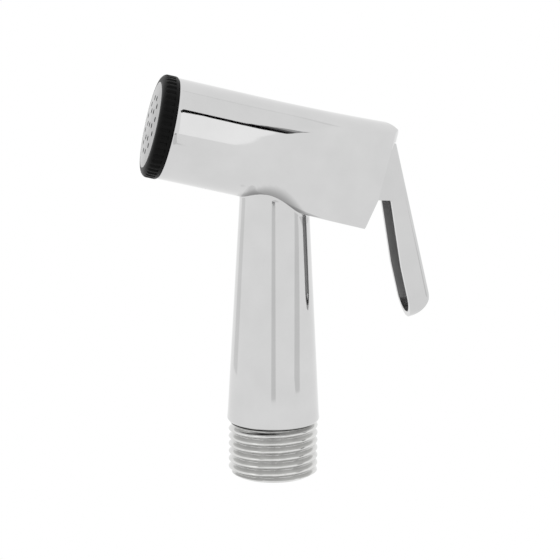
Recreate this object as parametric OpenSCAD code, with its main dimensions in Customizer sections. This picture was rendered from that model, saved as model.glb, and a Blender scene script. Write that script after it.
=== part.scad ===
// Handheld bidet shower: one cast body with a tapered handle and a tilted barrel, a ribbed
// spray ring with a drilled face, a sprung valve on the barrel's axis, and a channel lever
// that pushes the valve's stem. Millimetres. The origin is the middle of the inlet's lower
// end, +Z runs up the handle and +X points to the lever. Inside along_barrel() the X axis is
// the barrel's axis, from the spray face (negative) to the lever (positive), and Z is its top.

/* [Inlet] */
// Outside diameter of the parallel pipe thread
thread_d = 20.955; // [20.5:0.005:22]
// Pitch of the thread
thread_pitch = 1.814; // [1.6:0.002:1.9]
// Depth of the thread
thread_depth = 1.16; // [0.8:0.01:1.3]
// Width of the flat on each crest
crest_flat = 0.32; // [0.2:0.01:0.4]
// Number of crests
thread_turns = 7; // [5:1:7]
// Height of the lowest crest
first_crest_z = 0.9; // [0.8:0.05:1.5]
// Slope at the thread's lower end, measured across the radius
thread_chamfer = 1.55; // [0.6:0.05:1.6]
// Height of that slope
thread_chamfer_h = 0.96; // [0.6:0.02:1.2]
// Water bore of the inlet and of the handle
water_bore_d = 10; // [8:0.5:10.5]
// Diameter of the plain shank that goes into the handle
shank_d = 15.2; // [14.4:0.1:15.4]
// Length of the plain shank
shank_len = 11.2; // [9:0.1:13]
// Diameter of the strainer in the inlet
strainer_d = 12.7; // [11.6:0.1:14]
// Thickness of the strainer
strainer_t = 1.4; // [1:0.1:2]
// Depth of the strainer behind the inlet's lower end
strainer_recess = 0.9; // [0.5:0.1:1.5]
// Diameter of each strainer hole
strainer_hole_d = 1.1; // [0.8:0.05:1.3]
// Spacing of the strainer's rings of holes
strainer_pitch = 2.1; // [1.8:0.05:2.2]
// Thickness of the seal ring above the shank
shank_ring_t = 1.7; // [1.4:0.05:2]

/* [Handle] */
// Plain neck between the thread and the handle's lower end
thread_relief = 0.249; // [0.1:0.001:0.8]
// Diameter at the handle's lower end
handle_base_d = 21.66; // [21.2:0.05:23]
// Diameter at the handle's neck, under the barrel
handle_neck_d = 15.5; // [15:0.1:17]
// Height of the neck, where its diameter is measured
handle_neck_z = 70; // [66:0.5:72]
// Rounding of the handle's lower edge
handle_edge_r = 0.9; // [0.4:0.05:1.2]

/* [Barrel] */
// Diameter of the barrel
barrel_d = 23.3; // [22.8:0.1:25]
// Tilt of the barrel, its rear end lower
barrel_tilt = 13; // [10:0.5:15]
// Height at which the barrel's axis crosses the handle's axis
barrel_z = 75.9; // [74:0.1:78]
// Distance of the barrel's front face from the handle's axis
barrel_front = 25.5; // [24.5:0.1:28]
// Slope on the barrel's front edge
front_chamfer = 0.35; // [0.2:0.05:0.6]
// Width of the barrel's front land, between the socket for the ring and the outside
front_wall = 1.3; // [1.1:0.05:1.6]
// Depth of the socket for the ring, its seal and the flow plate
socket_depth = 6.8; // [6.4:0.1:7.2]
// Diameter of the valve room
valve_room_d = 16.8; // [15:0.1:17.5]
// Distance of the valve seat's wall in front of the handle's axis
seat_wall = 8; // [7.2:0.1:8.6]

/* [Rear block] */
// Where the flat sides start, in front of the handle's axis
flat_front = 6; // [4:0.5:8]
// Distance of the rear ends of the side walls behind the handle's axis
wall_rear = 25.2; // [24.6:0.1:26]
// Width over the flat sides at the rear end
rear_w = 13; // [12.8:0.1:15]
// Rise of the crown at the rear end
crown_rise = 0.85; // [0.4:0.05:1.2]
// Drop of the floor at the rear end
floor_drop = 0.87; // [0.4:0.05:1.4]
// Rounding of the lower edges at the rear end
floor_edge_r = 0.6; // [0.4:0.05:1]
// How fast the round underside turns into the flat floor
floor_fade = 2.2; // [1.8:0.1:2.8]
// How far the beak stands out behind the side walls
beak_out = 2; // [1.5:0.1:2.6]
// Rounding of the beak in the side view
beak_r = 4; // [2.5:0.1:4.1]
// Rounding of the beak in the top view
beak_plan_r = 11.5; // [11:0.5:18]
// How far the side walls slope forward at the floor
wall_undercut = 1.9; // [1:0.1:2.4]
// How far the side walls lean forward down to their knee
wall_lean = 0.3; // [0:0.05:0.6]
// Depth of that knee below the barrel's axis
wall_knee = 5.4; // [4.6:0.1:6.2]
// Height above the barrel's axis at which the side walls start to flare out to the beak
flare_start = 6.15; // [5.5:0.05:7]
// How far the side walls flare out under the beak
flare_out = 0.6; // [0.3:0.05:0.9]

/* [Lever] */
// Width over the lever
lever_w = 10.8; // [9.6:0.1:11]
// Thickness of the lever's sheet
lever_t = 1.2; // [1:0.05:1.3]
// Outside bend radius of the channel's long edges
lever_bend_r = 1.3; // [1.25:0.05:1.8]
// Lean of the lever against the barrel's cross plane
lever_lean = 26.5; // [24:0.05:29]
// Distance from the pivot to the back of the lever
lever_back = 5.95; // [5.6:0.05:6]
// Length of the lever below its pivot
lever_len = 40.65; // [34:0.05:44]
// Rounding of the lever's tip in the side view
tip_r = 6.4; // [4.4:0.05:7]
// Place of the flange's front edge at the ear, behind the pivot
flange_top = 1.7; // [1:0.1:2]
// Place of the flange's front edge at the tip, behind the pivot
flange_tip = 0.65; // [0.5:0.05:1.4]
// Depth of the ear below the pivot at its rear corner
ear_drop = 11.6; // [10.8:0.1:12]
// Depth of the ear below the pivot at its front corner
ear_drop_front = 10; // [9.4:0.1:10.4]
// How far the ear reaches in front of the pivot
ear_reach = 4.6; // [3.6:0.1:4.8]
// Radius of the ear around the pivot
ear_r = 3.1; // [2.6:0.05:3.15]
// How far the back of the lever reaches above its pivot
lever_top = 0.6; // [0.55:0.05:0.8]
// Distance of the pivot behind the handle's axis
pivot_s = 21.5; // [21:0.1:22]
// Height of the pivot above the barrel's axis
pivot_h = 5; // [4.9:0.05:5.1]
// Diameter of the pivot pin
pin_d = 2.5; // [2:0.1:2.8]
// Wall left over the blind end of the pin
pin_skin = 0.55; // [0.4:0.05:0.8]
// Depth of the pin's open end below the flat side
pin_recess = 0.3; // [0.2:0.05:0.5]

/* [Lever slot] */
// Distance of the slot's front wall behind the handle's axis
slot_front = 17.5; // [17:0.1:17.8]
// Height of the slot's roof above the barrel's axis
slot_roof = 8.35; // [8.3:0.05:8.8]
// Depth of the slot's floor below the barrel's axis
slot_floor = 6.9; // [6.8:0.1:7.6]

/* [Valve] */
// Diameter of the stem
stem_d = 3; // [2.6:0.1:3.2]
// Diameter of the stem's threaded front end
stem_thread_d = 2.2; // [1.8:0.1:2.3]
// Diameter of the stem's collar behind the seal disc
stem_collar_d = 4.6; // [4:0.1:4.8]
// Thickness of the stem's collar
stem_collar_t = 1; // [0.8:0.1:1.4]
// Bore of the valve seat
seat_bore_d = 6.2; // [5.8:0.1:6.6]
// Width of the seat's raised lip
seat_lip_w = 0.8; // [0.6:0.05:1]
// Height of the seat's raised lip
seat_lip_h = 0.6; // [0.4:0.05:0.8]
// Diameter of the rubber seal disc
disc_d = 9.9; // [9.4:0.1:10.4]
// Thickness of the rubber seal disc
disc_t = 1.8; // [1.4:0.1:2]
// Diameter over the cup that holds the seal disc
cup_d = 11.4; // [11.2:0.1:12]
// Thickness of the cup's floor
cup_floor = 1.8; // [1.4:0.1:2]
// Depth of the cup's rim
cup_rim = 0.7; // [0.4:0.05:1]
// Size over the flats of the nut on the stem
stem_nut_af = 4.5; // [4:0.1:4.8]
// Thickness of the nut on the stem
stem_nut_t = 1.7; // [1.4:0.1:2]
// How far the stem stands out in front of its nut
stem_end = 0.4; // [0.2:0.05:0.6]
// Radius of the stem's domed cap
cap_r = 2; // [1.9:0.05:2.1]
// Length of the straight part of the cap
cap_len = 3; // [2.4:0.1:3.2]
// Depth of the cap's bore
cap_bore_depth = 2.1; // [1.6:0.1:2.4]
// Gap between the stem's cap and the lever's back plate at rest
cap_gap = 0.1; // [0.05:0.01:0.3]
// Wire of the spring
spring_wire = 0.8; // [0.6:0.05:0.9]
// Mean diameter of the spring
spring_d = 8.4; // [7.8:0.1:9]
// Turns of the spring
spring_turns = 4.5; // [3:0.5:5]
// Depth of the spring's seat in the flow plate
spring_seat = 0.5; // [0.3:0.05:0.7]

/* [Stem gland] */
// Diameter of the packing bore
gland_bore_d = 6.1; // [5.9:0.05:6.4]
// Depth of the packing bore's shoulder behind the handle's axis
gland_shoulder = 8; // [7.4:0.1:8.6]
// Thickness of each stem seal ring
stem_ring_t = 1.44; // [1.3:0.02:1.5]
// Thickness of the packing washer
packing_t = 1; // [0.8:0.1:1.4]
// Size over the flats of the gland nut
gland_af = 6.2; // [5.6:0.1:6.4]
// Thickness of the gland nut's head
gland_head = 2.2; // [1.6:0.1:2.3]

/* [Spray head] */
// How far the ring stands out around the barrel
ring_proud = 0.2; // [0.1:0.05:0.8]
// Length of the ring in front of the barrel
ring_len = 4.1; // [3.6:0.1:4.6]
// Rounding of the ring's rear edge
ring_rear_r = 0.4; // [0.2:0.05:0.6]
// Length of the slope at the ring's front
ring_bevel = 1.15; // [0.8:0.05:1.4]
// Number of ribs around the ring
rib_count = 48; // [36:2:60]
// Diameter of the grooves between the ribs
rib_groove_d = 0.9; // [0.6:0.05:1]
// Depth of the grooves between the ribs
rib_groove_depth = 0.3; // [0.2:0.02:0.4]
// Length of the plain band behind the ribs
ring_band = 0.8; // [0.5:0.05:1.2]
// Wall of the ring's collar
collar_wall = 1; // [0.8:0.05:1.1]
// Width of the ring's bevel around the drilled face
face_edge = 1.2; // [1:0.05:1.5]
// Rise of the face's dome
face_dome = 0.15; // [0.1:0.05:0.5]
// Thickness of the face
face_t = 0.7; // [0.5:0.05:0.8]
// Width of the flat lip of the ring around the face
face_lip = 0.1; // [0.05:0.05:0.3]
// Diameter of each spray hole
spray_hole_d = 1.15; // [0.8:0.05:1.3]
// Radius of the inner ring of spray holes
spray_ring_inner = 3.5; // [2.8:0.1:3.8]
// Radius of the outer ring of spray holes
spray_ring_outer = 6.3; // [5.8:0.1:7.4]
// Thickness of the flow plate
plate_t = 1.3; // [1:0.1:1.6]
// Diameter of the flow plate's holes
plate_hole_d = 3; // [2.4:0.1:3.2]
// Number of holes in the flow plate
plate_holes = 6; // [4:1:8]
// Thickness of the ring's flat seal
gasket_t = 0.8; // [0.6:0.1:1]

/* [Fits] */
// Clearance around parts that are screwed or pushed into a bore
seat_fit = 0.05; // [0.03:0.01:0.1]
// Clearance around parts that turn or slide
running_fit = 0.05; // [0.03:0.01:0.08]
// Clearance between parts that are pressed together
press_fit = 0.01; // [0.005:0.005:0.02]
// Side clearance of the lever in its slot
lever_side_fit = 0.2; // [0.15:0.05:0.3]

/* [Hidden] */

$fn = 96;
past = 1;                 // how far a cutter runs past the face that it opens
chrome = "#c9cbce";
brass = "#b9a36a";
steel = "#b4b6b8";
black_plastic = "#17181a";
rubber = "#2b2b2d";

thread_r = thread_d / 2;
root_r = thread_r - thread_depth;
thread_slope = thread_pitch / 2 - crest_flat / 2;
thread_top = first_crest_z + (thread_turns - 1) * thread_pitch + thread_slope;
handle_base_z = thread_top + thread_relief;
bore_r = water_bore_d / 2;
shank_r = shank_d / 2;
shank_top = handle_base_z + shank_len;
strainer_z = strainer_recess;
handle_taper = (handle_base_d - handle_neck_d) / 2 / (handle_neck_z - handle_base_z);
function handle_r(z) = handle_base_d / 2 - handle_taper * (z - handle_base_z);

barrel_r = barrel_d / 2;
socket_r = barrel_r - front_wall;
shoulder_s = -barrel_front + socket_depth;
room_end = -seat_wall;
bore_roof = 4;            // height of the water bore's end above the barrel's axis

flat_len = wall_rear + flat_front;
beak_s = wall_rear + beak_out;
loft_past = 1.1;          // length of loft cut away behind the beak
slot_w = lever_w + 2 * lever_side_fit;
pin_r = pin_d / 2;
plate_x = lever_back - lever_t;
plate_s = pivot_s + plate_x * cos(lever_lean)
    + (pivot_h + plate_x * sin(lever_lean)) * tan(lever_lean);
cap_centre = plate_s - (cap_r + cap_gap) / cos(lever_lean);

seal_face = -seat_wall - seat_lip_h;
cup_face = seal_face - disc_t - cup_floor;
plate_front = shoulder_s - plate_t;
gasket_front = plate_front - gasket_t;
ring_front = -barrel_front - ring_len;
ring_r = barrel_r + ring_proud;
collar_r = socket_r - seat_fit;
collar_bore_r = collar_r - collar_wall;
face_r = ring_r - face_edge;
face_ball_r = (face_r * face_r + face_dome * face_dome) / (2 * face_dome);
face_tip = ring_front - face_dome;
ledge_s = ring_front + face_t;

gland_r = gland_bore_d / 2 - seat_fit;
stem_hole_r = stem_d / 2 + running_fit;
stem_ring_r = stem_ring_t / 2;
ring_gap = 0.02;          // gap that keeps a soft ring from cutting into its seat
front_seal_s = gland_shoulder + ring_gap + stem_ring_r;
packing_s = front_seal_s + stem_ring_r + ring_gap;
rear_seal_s = packing_s + packing_t + ring_gap + stem_ring_r;
gland_s = rear_seal_s + stem_ring_r + ring_gap;

// Half the width over the flat sides at station s
function half_w(s) = barrel_r - (barrel_r - rear_w / 2) * (s + flat_front) / flat_len;
// Share of the way from the round barrel to the rear end, at station s
function share(s) = min(1, max(0, (s + flat_front) / flat_len));
function eased(t) = t * t * (3 - 2 * t);
function crown(s) = crown_rise * pow(share(s), 2);
function floor_h(s) = barrel_r + floor_drop * share(s);
function lower_edge_r(s) =
    min(half_w(s) - edge_margin,
        floor_edge_r + (barrel_r - floor_edge_r) * pow(1 - eased(share(s)), floor_fade));

module along_barrel() {
    translate([0, 0, barrel_z]) rotate([0, barrel_tilt, 0]) children();
}

// The lever's own frame: X points out of its back, Z up along it, the pivot is the origin
module at_lever() {
    along_barrel() translate([pivot_s, 0, pivot_h]) rotate([0, -lever_lean, 0]) children();
}

// A round bar along the barrel's axis, from station a to station b
module bar(r, a, b) {
    translate([a, 0, 0]) rotate([0, 90, 0]) cylinder(h = b - a, r = r);
}

module tube(r_out, r_in, a, b) {
    difference() {
        bar(r_out, a, b);
        bar(r_in, a - past, b + past);
    }
}

// A form turned about the barrel's axis from points given as [radius, station]
module turned(points) {
    rotate([0, 90, 0]) rotate_extrude() polygon(points);
}

// A round ring about the barrel's axis with its middle at station s
module soft_ring(ring_mean_r, section_r, s) {
    translate([s, 0, 0]) rotate([0, 90, 0])
        rotate_extrude() translate([ring_mean_r, 0]) circle(r = section_r, $fn = 32);
}

// A flat outline in the side view of the barrel or the lever, as thick as w
module side_plate(w) {
    rotate([90, 0, 0]) translate([0, 0, -w / 2]) linear_extrude(height = w) children();
}

// Rear block: a loft from the round barrel to a crowned, flat-sided rear end
crown_steps = 32;
edge_steps = 8;
loft_stations = 18;
loft_first = 0.015;       // share at which the flat sides are first wide enough to draw
loft_skin = 0.02;         // how far the loft lies inside the barrel where they meet
loft_lead = 0.6;          // how far the loft reaches into the round barrel
loft_lead_scale = 0.997;  // size of that first section against the next one
loft_widest = 0.995;      // widest section as a share of the loft's radius
edge_margin = 0.05;       // least flat left between the rounded lower edges

function loft_s(i) =
    i == 0 ? -flat_front - loft_lead
    : -flat_front + flat_len * loft_first
      + (beak_s + loft_past + flat_front - flat_len * loft_first) * (i - 1) / loft_stations;
function loft_scale(i) = i == 0 ? loft_lead_scale : 1;
function loft_section(s) = let (
        r = barrel_r - loft_skin,
        w = min(half_w(s), r * loft_widest),
        a = asin(w / r),
        e = lower_edge_r(s),
        f = floor_h(s) - loft_skin
    ) concat(
        [for (i = [0 : crown_steps]) let (b = -a + 2 * a * i / crown_steps)
            [r * sin(b), crown(s) + r * cos(b)]],
        [for (i = [0 : edge_steps]) let (b = 90 * i / edge_steps)
            [w - e + e * cos(b), e - f - e * sin(b)]],
        [for (i = [0 : edge_steps]) let (b = 90 * i / edge_steps)
            [e - w - e * sin(b), e - f - e * cos(b)]]
    );

module rear_loft() {
    ring_n = crown_steps + 1 + 2 * (edge_steps + 1);
    points = [for (i = [0 : loft_stations + 1])
        let (s = loft_s(i), drawn = max(s, -flat_front + flat_len * loft_first))
        for (p = loft_section(drawn)) [s, p[0] * loft_scale(i), p[1] * loft_scale(i)]];
    skin = [for (i = [0 : loft_stations]) for (j = [0 : ring_n - 1])
        let (a = i * ring_n, b = (i + 1) * ring_n, k = (j + 1) % ring_n)
        [a + j, a + k, b + k, b + j]];
    front_cap = [for (j = [0 : ring_n - 1]) ring_n - 1 - j];
    rear_cap = [for (j = [0 : ring_n - 1]) (loft_stations + 1) * ring_n + j];
    polyhedron(points = points, faces = concat([front_cap], skin, [rear_cap]), convexity = 4);
}

// Outline that trims the rear block in the side view: side walls, beak and sloping floor end
module rear_outline() {
    big = 60;
    top = barrel_r + crown_rise;
    polygon([
        [-big, -big], [wall_rear - wall_undercut, -big],
        [wall_rear - wall_undercut, -floor_h(wall_rear)],
        [wall_rear - wall_lean, -wall_knee], [wall_rear, flare_start],
        [wall_rear + flare_out, slot_roof], [wall_rear + flare_out, slot_roof + past],
        [beak_s - beak_r, slot_roof + past], [beak_s - beak_r, big], [-big, big]
    ]);
    translate([beak_s - beak_r, top - beak_r]) circle(r = beak_r);
    translate([beak_s - 2 * beak_r, slot_roof]) square([2 * beak_r, top - beak_r - slot_roof]);
}

module rear_block() {
    intersection() {
        rear_loft();
        side_plate(4 * barrel_r) rear_outline();
        union() {
            translate([beak_s - beak_plan_r, 0, -2 * barrel_r])
                cylinder(h = 4 * barrel_r, r = beak_plan_r, $fn = 192);
            translate([-3 * barrel_r, -2 * barrel_r, -2 * barrel_r])
                cube([3 * barrel_r + slot_front, 4 * barrel_r, 4 * barrel_r]);
        }
    }
}

module barrel_form() {
    turned([
        [0, -barrel_front], [barrel_r - front_chamfer, -barrel_front],
        [barrel_r, -barrel_front + front_chamfer], [barrel_r, -flat_front], [0, -flat_front]
    ]);
    rear_block();
}

module handle_form() {
    edge = handle_edge_r;
    rotate_extrude() {
        polygon([
            [0, handle_base_z], [handle_base_d / 2 - edge, handle_base_z],
            for (i = [1 : 6]) let (a = 15 * i)
                [handle_r(handle_base_z) - edge + edge * sin(a),
                 handle_base_z + edge - edge * cos(a)],
            [handle_r(barrel_z), barrel_z], [0, barrel_z]
        ]);
    }
}

module lever_slot() {
    translate([slot_front, -slot_w / 2, -slot_floor])
        cube([beak_s + past - slot_front, slot_w, slot_floor + slot_roof]);
}

module body() {
    pin_wall = half_w(pivot_s);
    color(chrome) difference() {
        union() {
            handle_form();
            along_barrel() barrel_form();
        }
        translate([0, 0, handle_base_z - past])
            cylinder(h = shank_len + shank_ring_t + 2 * ring_gap + past, r = shank_r + seat_fit);
        cylinder(h = barrel_z + bore_roof, r = bore_r);
        along_barrel() {
            bar(socket_r, -barrel_front - past, shoulder_s);
            difference() {
                bar(valve_room_d / 2, shoulder_s - past, room_end);
                tube(seat_bore_d / 2 + seat_lip_w, seat_bore_d / 2, seal_face, room_end + past);
            }
            bar(seat_bore_d / 2, seal_face - past, 0);
            bar(stem_hole_r, 0, gland_shoulder + past);
            bar(gland_bore_d / 2, gland_shoulder, slot_front + past);
            lever_slot();
            translate([pivot_s, pin_skin - pin_wall, pivot_h]) rotate([-90, 0, 0])
                cylinder(h = 2 * pin_wall, r = pin_r + press_fit);
        }
    }
}

// Threaded inlet: ridges on a turned shank, sloped at the lower end
module inlet_nipple() {
    thread_start = 0.01;  // least height at which the first ridge starts
    neck = handle_base_z;
    color(steel) difference() {
        intersection() {
            rotate_extrude() polygon([
                [0, 0], [root_r, 0],
                for (k = [0 : thread_turns - 1]) let (z = first_crest_z + k * thread_pitch)
                    each [
                        [root_r, max(thread_start, z - thread_slope)], [thread_r, z - crest_flat / 2],
                        [thread_r, z + crest_flat / 2], [root_r, z + thread_slope]
                    ],
                [root_r, neck], [shank_r, neck], [shank_r, shank_top], [0, shank_top]
            ]);
            rotate_extrude() polygon([
                [0, 0], [thread_r - thread_chamfer, 0], [thread_r, thread_chamfer_h],
                [thread_r, shank_top], [0, shank_top]
            ]);
        }
        translate([0, 0, -past]) cylinder(h = shank_top + 2 * past, r = bore_r);
        translate([0, 0, -past])
            cylinder(h = past + strainer_z + strainer_t, r = strainer_d / 2 + seat_fit);
    }
}

module nipple_seal() {
    section = shank_ring_t / 2;
    color(rubber) translate([0, 0, shank_top + ring_gap + section])
        rotate_extrude() translate([(bore_r + shank_r) / 2, 0])
            circle(r = section, $fn = 32);
}

// Strainer: a drilled disc with its holes on three rings
module inlet_strainer() {
    color(steel) translate([0, 0, strainer_z]) difference() {
        cylinder(h = strainer_t, r = strainer_d / 2);
        translate([0, 0, -past]) cylinder(h = strainer_t + 2 * past, d = strainer_hole_d, $fn = 24);
        for (ring = [1, 2], k = [0 : 6 * ring - 1])
            rotate([0, 0, 60 * k / ring]) translate([ring * strainer_pitch, 0, -past])
                cylinder(h = strainer_t + 2 * past, d = strainer_hole_d, $fn = 24);
    }
}

// Ring: a collar in the barrel's socket, a ribbed rim, and a ledge for the drilled face
module spray_ring() {
    lip_r = face_r + seat_fit;
    bevel_in = ring_r - lip_r - face_lip;
    color(black_plastic) along_barrel() difference() {
        turned([
            [collar_bore_r, gasket_front], [collar_r, gasket_front], [collar_r, -barrel_front],
            [ring_r - ring_rear_r, -barrel_front],
            [ring_r, -barrel_front - ring_rear_r],
            for (i = [0 : 6]) let (a = 15 * i)
                [ring_r - bevel_in * (1 - cos(a)), ring_front + ring_bevel * (1 - sin(a))],
            [lip_r, ring_front], [lip_r, ledge_s], [collar_bore_r, ledge_s]
        ]);
        for (k = [0 : rib_count - 1])
            rotate([360 * k / rib_count, 0, 0])
                translate([0, 0, ring_r - rib_groove_depth + rib_groove_d / 2])
                    bar(rib_groove_d / 2, ring_front - past, -barrel_front - ring_band);
    }
}

// Face: a slightly domed plate with a flat seat around its back and rings of spray holes
dome_steps = 12;
module spray_face() {
    function dome(r) = face_tip + face_ball_r - sqrt(face_ball_r * face_ball_r - r * r);
    color(steel) along_barrel() difference() {
        turned(concat(
            [for (i = [0 : dome_steps]) let (r = face_r * i / dome_steps) [r, dome(r)]],
            [[face_r, ledge_s], [collar_bore_r, ledge_s]],
            [for (i = [dome_steps : -1 : 0])
                let (r = collar_bore_r * i / dome_steps) [r, dome(r) + face_t]]
        ));
        bar(spray_hole_d / 2, face_tip - past, ledge_s + past);
        for (k = [0 : 5]) rotate([60 * k + 30, 0, 0]) translate([0, 0, spray_ring_inner])
            bar(spray_hole_d / 2, face_tip - past, ledge_s + past);
        for (k = [0 : 11]) rotate([30 * k + 15, 0, 0]) translate([0, 0, spray_ring_outer])
            bar(spray_hole_d / 2, face_tip - past, ledge_s + past);
    }
}

module ring_gasket() {
    color(rubber) along_barrel() tube(collar_r, collar_bore_r, gasket_front, plate_front);
}

// Flow plate: holds the spring, and its holes steady the water on its way to the face
module flow_plate() {
    hole_ring = (valve_room_d / 2 + spring_d / 2 + spring_wire) / 2;
    color(black_plastic) along_barrel() difference() {
        bar(collar_r, plate_front, shoulder_s);
        tube(spring_d / 2 + spring_wire, spring_d / 2 - spring_wire,
             shoulder_s - spring_seat, shoulder_s + past);
        bar(stem_thread_d / 2, plate_front - past, shoulder_s + past);
        for (k = [0 : plate_holes - 1])
            rotate([360 * k / plate_holes, 0, 0]) translate([0, 0, hole_ring])
                bar(plate_hole_d / 2, plate_front - past, shoulder_s + past);
    }
}

// Spring between the flow plate and the cup, drawn as a swept helix with the valve shut
spring_sides = 8;
spring_steps = 20;        // rings of the sweep in one turn
module valve_spring() {
    wire_r = spring_wire / 2;
    start = shoulder_s - spring_seat + wire_r + ring_gap;
    end = cup_face - wire_r - ring_gap;
    rings = spring_steps * spring_turns;
    points = [for (i = [0 : rings]) for (j = [0 : spring_sides - 1])
        let (turn = 360 * i / spring_steps, round = 360 * j / spring_sides,
             r = spring_d / 2 + wire_r * cos(round))
        [start + (end - start) * i / rings + wire_r * sin(round), r * cos(turn), r * sin(turn)]];
    skin = [for (i = [0 : rings - 1]) for (j = [0 : spring_sides - 1])
        let (k = (j + 1) % spring_sides, a = i * spring_sides, b = a + spring_sides)
        [a + j, b + j, b + k, a + k]];
    color(steel) along_barrel() polyhedron(
        points = points,
        faces = concat(
            [[for (j = [0 : spring_sides - 1]) j]], skin,
            [[for (j = [0 : spring_sides - 1]) rings * spring_sides + spring_sides - 1 - j]]),
        convexity = 10);
}

module stem_nut() {
    front = cup_face - stem_nut_t;
    color(brass) along_barrel() difference() {
        translate([front, 0, 0]) rotate([0, 90, 0])
            cylinder(h = stem_nut_t, d = stem_nut_af / cos(30), $fn = 6);
        bar(stem_thread_d / 2 + press_fit, front - past, cup_face + past);
    }
}

// Cup: carries the seal disc in its rim and takes the spring on its front
module valve_cup() {
    floor_s = seal_face - disc_t;
    color(brass) along_barrel() difference() {
        bar(cup_d / 2, cup_face, floor_s + cup_rim);
        bar(disc_d / 2 + seat_fit, floor_s, floor_s + cup_rim + past);
        bar(stem_thread_d / 2 + press_fit, cup_face - past, floor_s + past);
    }
}

module valve_disc() {
    color(rubber) along_barrel()
        tube(disc_d / 2, stem_thread_d / 2 + press_fit, seal_face - disc_t, seal_face);
}

// Stem: threaded front end, collar behind the seal disc, and a plain rod to the lever
module valve_stem() {
    rod_end = cap_centre - cap_len + cap_bore_depth;
    nut_front = cup_face - stem_nut_t;
    color(steel) along_barrel() union() {
        bar(stem_thread_d / 2, nut_front - stem_end, seal_face + stem_collar_t / 2);
        bar(stem_collar_d / 2, seal_face, seal_face + stem_collar_t);
        bar(stem_d / 2, seal_face + stem_collar_t / 2, rod_end);
    }
}

module stem_seal_front() {
    mean = stem_d / 2 + ring_gap + stem_ring_r;
    color(rubber) along_barrel() soft_ring(mean, stem_ring_r, front_seal_s);
}

module packing_washer() {
    color(brass) along_barrel() tube(gland_r, stem_hole_r, packing_s, packing_s + packing_t);
}

module stem_seal_rear() {
    mean = stem_d / 2 + ring_gap + stem_ring_r;
    color(rubber) along_barrel() soft_ring(mean, stem_ring_r, rear_seal_s);
}

module gland_nut() {
    color(brass) along_barrel() difference() {
        union() {
            bar(gland_r, gland_s, slot_front + gland_head / 2);
            translate([slot_front, 0, 0]) rotate([0, 90, 0])
                cylinder(h = gland_head, d = gland_af / cos(30), $fn = 6);
        }
        bar(stem_hole_r, gland_s - past, slot_front + gland_head + past);
    }
}

module stem_cap() {
    start = cap_centre - cap_len;
    color(steel) along_barrel() difference() {
        union() {
            bar(cap_r, start, cap_centre);
            translate([cap_centre, 0, 0]) sphere(r = cap_r);
        }
        bar(stem_d / 2 + press_fit, start - past, start + cap_bore_depth);
    }
}

// Side view of the lever without its ear: a straight back and a round tip
module lever_outline(inset) {
    tip_mid = [lever_back - tip_r, tip_r - lever_len];
    translate(tip_mid) circle(r = tip_r - inset);
    translate([tip_mid[0] - 4 * tip_r, tip_mid[1]])
        square([5 * tip_r - inset, lever_len + lever_top]);
}

// Parts of the side view that the flanges fill: the ear around the pivot and the long flange
module flange_outline() {
    neck = 0.8;           // rounding between the ear and the long flange
    ear_in = ear_r - 0.05; // the slope above the ear starts just inside its round
    polygon([
        [ear_in * sin(lever_lean), ear_in * cos(lever_lean)], [lever_back, lever_top],
        [lever_back, -lever_len], [flange_tip, -lever_len],
        [flange_tip, tip_r * 2 - lever_len],
        [flange_top, -ear_drop - neck],
        for (i = [0 : 4]) let (a = 22.5 * i)
            [flange_top - neck * (1 - cos(a)), -ear_drop - neck * (1 - sin(a))],
        [-ear_reach, -ear_drop_front], [-ear_r, 0]
    ]);
    circle(r = ear_r);
}

// Top view of the lever's channel: square outside corners with a bend radius
module channel_section() {
    far = 4 * lever_back;
    half = lever_w / 2;
    bend = lever_bend_r;
    translate([-far, -half]) square([far + lever_back - bend, lever_w]);
    translate([-far, bend - half]) square([far + lever_back, lever_w - 2 * bend]);
    for (side = [-1, 1]) translate([lever_back - bend, side * (half - bend)]) circle(r = bend);
}

// Back view of the lever: straight sides and a round lower end, inset by the sheet or not
module lever_plan(inset) {
    half = lever_w / 2;
    rotate([0, 90, 0]) translate([0, 0, -4 * lever_back]) linear_extrude(height = 6 * lever_back) {
        translate([lever_len - half, 0]) circle(r = half - inset);
        translate([-3 * ear_r, inset - half])
            square([lever_len - half + 3 * ear_r, lever_w - 2 * inset]);
    }
}

module lever() {
    color(chrome) at_lever() difference() {
        intersection() {
            side_plate(lever_w) intersection() {
                lever_outline(0);
                flange_outline();
            }
            lever_plan(0);
            translate([0, 0, -lever_len - past])
                linear_extrude(height = lever_len + 3 * ear_r) channel_section();
        }
        intersection() {
            side_plate(lever_w) lever_outline(lever_t);
            lever_plan(lever_t);
        }
        translate([0, 0, lever_top - past])
            side_room(lever_back - lever_t, 2 * ear_r);
        rotate([90, 0, 0]) translate([0, 0, -lever_w])
            cylinder(h = 2 * lever_w, r = pin_r + running_fit);
    }
}

// Room between the ears above the back plate
module side_room(depth, height) {
    translate([-4 * ear_r, lever_t - lever_w / 2, 0])
        cube([4 * ear_r + depth, lever_w - 2 * lever_t, height]);
}

module pivot_pin() {
    wall = half_w(pivot_s);
    start = pin_skin + press_fit - wall;
    color(steel) along_barrel() translate([pivot_s, start, pivot_h]) rotate([-90, 0, 0])
        cylinder(h = wall - pin_recess - start, r = pin_r);
}

body();
inlet_nipple();
nipple_seal();
inlet_strainer();
spray_ring();
spray_face();
ring_gasket();
flow_plate();
valve_spring();
stem_nut();
valve_cup();
valve_disc();
valve_stem();
stem_seal_front();
packing_washer();
stem_seal_rear();
gland_nut();
stem_cap();
lever();
pivot_pin();
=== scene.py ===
import math

import bmesh
import bpy
from mathutils import Matrix, Vector


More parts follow.
